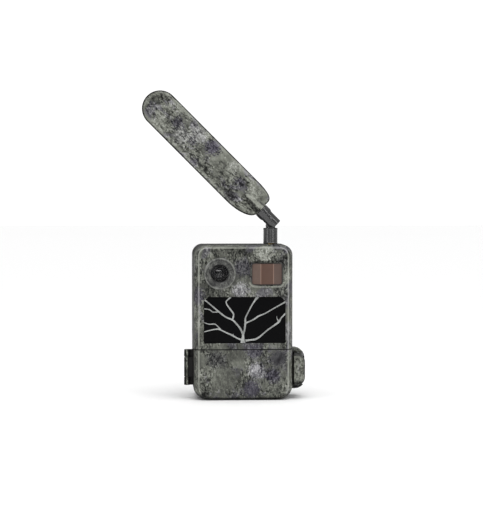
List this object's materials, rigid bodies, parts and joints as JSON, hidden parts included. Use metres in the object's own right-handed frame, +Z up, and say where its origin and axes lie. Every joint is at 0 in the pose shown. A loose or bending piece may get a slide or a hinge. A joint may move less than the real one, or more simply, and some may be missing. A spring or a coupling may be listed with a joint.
{
  "type": "trail camera",
  "caption": "Upright weatherproof trail camera with a hinged battery door, side latch, infra-red window and a tilting blade antenna.",
  "frame": {"origin": "middle of the case's width on the flat underside that the camera stands on, above the middle of the standing face front to back", "axes": "+Z up, -Y out of the lens towards the scene, +X to the right seen from the front, towards the latch"},
  "size_m": [0.1464, 0.08, 0.2732],
  "materials": {
    "camo_film": "satin hydro-dipped bark camouflage on moulded ABS",
    "seal_rubber": "matt black elastomer",
    "plated_steel": "zinc-plated, satin",
    "brass": "turned, satin",
    "black_plastic": "fine moulded texture",
    "grey_plastic": "fine moulded texture",
    "antenna_plastic": "satin moulded",
    "circuit_board": "green solder mask",
    "shield_can": "stamped, satin",
    "lens_glass": "coated optical glass",
    "pir_lens": "satin brown polyethylene with fine ridges",
    "ir_window": "polished infra-red-passing black acrylic",
    "cell_wrap": "printed film sleeve, plain bands",
    "card_plastic": "smooth",
    "display_glass": "polished",
    "button_rubber": "matt silicone"
  },
  "bodies": {
    "camera_body": {"rear_housing": "camo_film", "front_housing": "camo_film", "lens_bezel": "camo_film", "branch_mask": "camo_film", "tree_bracket": "camo_film", "upper_seal": "seal_rubber", "door_seal": "seal_rubber", "lens_seal": "seal_rubber", "hinge_pin": "plated_steel", "latch_pin": "plated_steel", "bracket_screw_1": "plated_steel", "bracket_screw_2": "plated_steel", "housing_screw_1": "plated_steel", "housing_screw_2": "plated_steel", "housing_screw_3": "plated_steel", "housing_screw_4": "plated_steel", "tripod_insert": "brass", "sma_jack": "brass", "dc_jack": "black_plastic", "lens_barrel": "black_plastic", "lens_holder": "black_plastic", "antenna_coax": "black_plastic", "control_panel": "grey_plastic", "sensor_board": "circuit_board", "main_board": "circuit_board", "control_board": "circuit_board", "ir_led_board": "circuit_board", "pir_sensor": "shield_can", "modem_module": "shield_can", "cover_glass": "lens_glass", "lens_element": "lens_glass", "pir_window": "pir_lens", "ir_window": "ir_window", "status_display": "display_glass"},
    "battery_door": {"battery_door": "camo_film"},
    "latch_lever": {"latch_lever": "camo_film"},
    "antenna_collar": {"antenna_collar": "antenna_plastic"},
    "antenna_swivel": {"antenna_neck": "antenna_plastic", "tilt_pin": "plated_steel"},
    "antenna_blade": {"antenna_fork": "antenna_plastic", "blade_front": "camo_film", "blade_back": "camo_film", "antenna_element": "circuit_board"},
    "battery_tray": {"battery_tray": "black_plastic", "battery_1": "cell_wrap", "battery_2": "cell_wrap", "battery_3": "cell_wrap", "battery_4": "cell_wrap", "battery_5": "cell_wrap", "battery_6": "cell_wrap", "battery_7": "cell_wrap", "battery_8": "cell_wrap"},
    "button_up": {"button_up": "button_rubber"},
    "button_ok": {"button_ok": "button_rubber"},
    "button_down": {"button_down": "button_rubber"},
    "power_switch": {"power_switch": "button_rubber"},
    "sd_card": {"sd_card": "black_plastic"},
    "sim_card": {"sim_card": "card_plastic"},
    "ir_cut_shuttle": {"ir_cut_shuttle": "grey_plastic"},
    "port_plug": {"port_plug": "seal_rubber"}
  },
  "joints": [
    {"name": "door_hinge", "type": "hinge", "parent": "camera_body", "child": "battery_door", "pos_m": [-0.04945, -0.018, 0.028], "axis": [0, 0, -1], "range_deg": [0, 150]},
    {"name": "latch_pivot", "type": "hinge", "parent": "camera_body", "child": "latch_lever", "pos_m": [0.0498, -0.002, 0.026], "axis": [0, 0, 1], "range_deg": [0, 80]},
    {"name": "collar_spin", "type": "hinge", "parent": "camera_body", "child": "antenna_collar", "pos_m": [0.0243, -0.024, 0.145], "axis": [0, 0, 1], "continuous": true},
    {"name": "antenna_swivel", "type": "hinge", "parent": "camera_body", "child": "antenna_swivel", "pos_m": [0.0243, -0.024, 0.149], "axis": [0, 0, 1], "continuous": true},
    {"name": "antenna_tilt", "type": "hinge", "parent": "antenna_swivel", "child": "antenna_blade", "pos_m": [0.0243, -0.024, 0.1594], "axis": [0, -1, 0], "range_deg": [-44.9, 45.1]},
    {"name": "battery_tray_slide", "type": "slide", "parent": "camera_body", "child": "battery_tray", "axis": [0, -1, 0], "range_m": [0, 0.0043]},
    {"name": "button_up_press", "type": "slide", "parent": "camera_body", "child": "button_up", "axis": [0, 1, 0], "range_m": [0, 0.0008], "stiffness_N_per_m": 400, "springref_m": -0.0008},
    {"name": "button_ok_press", "type": "slide", "parent": "camera_body", "child": "button_ok", "axis": [0, 1, 0], "range_m": [0, 0.0008], "stiffness_N_per_m": 400, "springref_m": -0.0008},
    {"name": "button_down_press", "type": "slide", "parent": "camera_body", "child": "button_down", "axis": [0, 1, 0], "range_m": [0, 0.0008], "stiffness_N_per_m": 400, "springref_m": -0.0008},
    {"name": "power_switch_slide", "type": "slide", "parent": "camera_body", "child": "power_switch", "axis": [0, 0, 1], "range_m": [0, 0.005]},
    {"name": "sd_card_slide", "type": "slide", "parent": "camera_body", "child": "sd_card", "axis": [0, -1, 0], "range_m": [0, 0.012]},
    {"name": "sim_card_slide", "type": "slide", "parent": "camera_body", "child": "sim_card", "axis": [0, -1, 0], "range_m": [0, 0.009]},
    {"name": "ir_cut_slide", "type": "slide", "parent": "camera_body", "child": "ir_cut_shuttle", "axis": [1, 0, 0], "range_m": [0, 0.005]},
    {"name": "port_plug_pull", "type": "slide", "parent": "camera_body", "child": "port_plug", "axis": [0, 0, -1], "range_m": [0, 0.007]}
  ]
}
